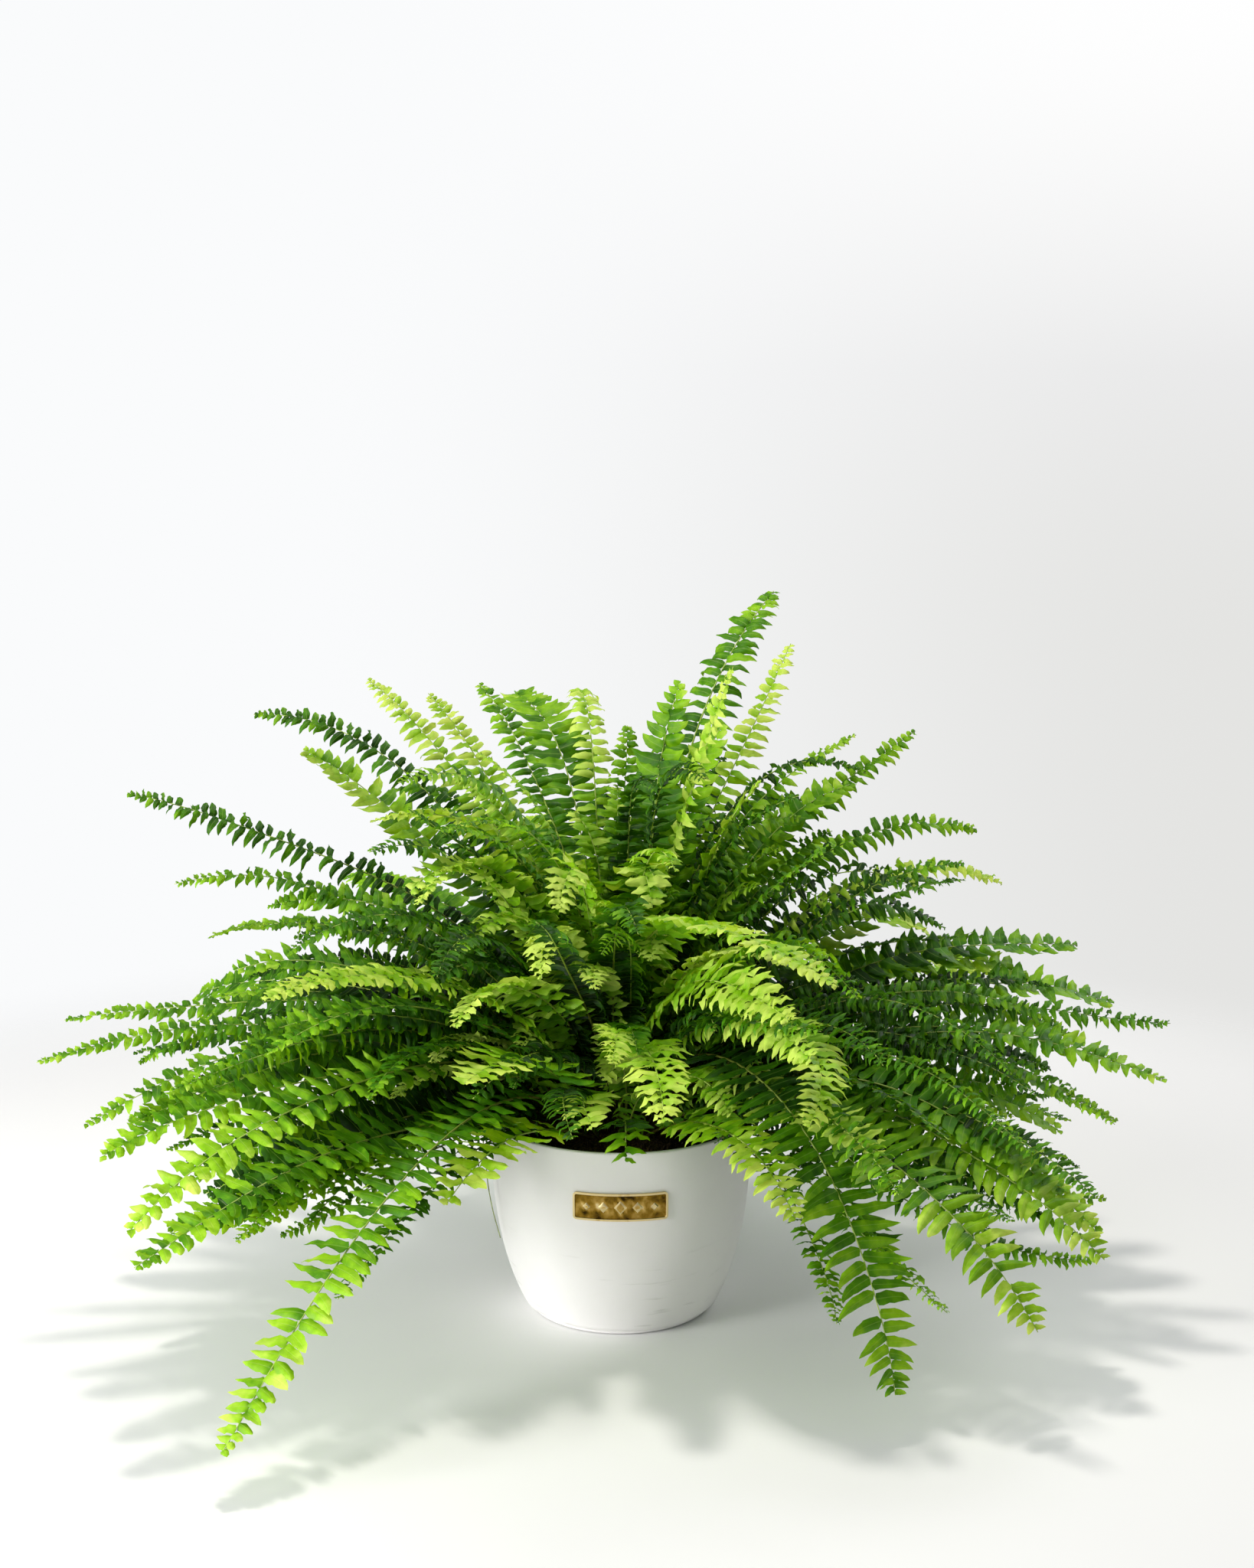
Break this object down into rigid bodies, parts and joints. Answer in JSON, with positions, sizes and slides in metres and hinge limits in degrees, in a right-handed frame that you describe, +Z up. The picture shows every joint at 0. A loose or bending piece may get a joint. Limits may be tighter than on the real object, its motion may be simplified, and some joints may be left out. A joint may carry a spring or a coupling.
{
  "type": "potted fern",
  "caption": "Bushy fern with long arching fronds, growing in a nursery pot inside a round white tapered cover pot that has a small brass plate on its front.",
  "frame": {"origin": "centre of the cover pot's flat underside", "axes": "+Z up, the nameplate faces -Y, +X to the right as the nameplate is faced"},
  "size_m": [0.7489, 0.6537, 0.479],
  "materials": {
    "pot_white": "matte",
    "aged_brass": "satin",
    "liner_green": "satin",
    "soil": "matte",
    "crown_brown": "matte",
    "runner_green": "satin",
    "leaf_light": "satin",
    "leaf_mid": "satin",
    "leaf_dark": "satin"
  },
  "bodies": {
    "root": {"cover_pot": "pot_white", "nameplate": "aged_brass", "nursery_liner": "liner_green", "potting_soil": "soil", "crown": "crown_brown", "runner": "runner_green", "frond_left_1": "leaf_dark", "frond_left_2": "leaf_dark", "frond_left_3": "leaf_mid", "frond_left_4": "leaf_mid", "frond_left_5": "leaf_mid", "frond_left_6": "leaf_mid", "frond_left_7": "leaf_mid", "frond_left_8": "leaf_mid", "frond_left_9": "leaf_light", "frond_left_10": "leaf_mid", "frond_left_11": "leaf_mid", "frond_front_1": "leaf_light", "frond_front_2": "leaf_light", "frond_front_3": "leaf_light", "frond_front_4": "leaf_light", "frond_front_5": "leaf_light", "frond_front_6": "leaf_light", "frond_front_7": "leaf_light", "frond_front_8": "leaf_mid", "frond_front_9": "leaf_light", "frond_front_10": "leaf_light", "frond_front_11": "leaf_light", "frond_front_12": "leaf_light", "frond_front_13": "leaf_light", "frond_right_1": "leaf_mid", "frond_right_2": "leaf_light", "frond_right_3": "leaf_light", "frond_right_4": "leaf_light", "frond_right_5": "leaf_mid", "frond_right_6": "leaf_mid", "frond_right_7": "leaf_dark", "frond_right_8": "leaf_dark", "frond_right_9": "leaf_mid", "frond_right_10": "leaf_light", "frond_right_11": "leaf_light", "frond_right_12": "leaf_mid", "frond_right_13": "leaf_mid", "frond_top_1": "leaf_light", "frond_top_2": "leaf_light", "frond_top_3": "leaf_mid", "frond_top_4": "leaf_light", "frond_top_5": "leaf_dark", "frond_top_6": "leaf_light", "frond_top_7": "leaf_light", "frond_top_8": "leaf_mid", "frond_back_1": "leaf_mid", "frond_back_2": "leaf_mid", "frond_back_3": "leaf_light", "frond_back_4": "leaf_dark", "frond_back_5": "leaf_mid", "frond_back_6": "leaf_light", "frond_back_7": "leaf_mid", "frond_back_8": "leaf_mid", "frond_back_9": "leaf_dark"}
  },
  "joints": []
}
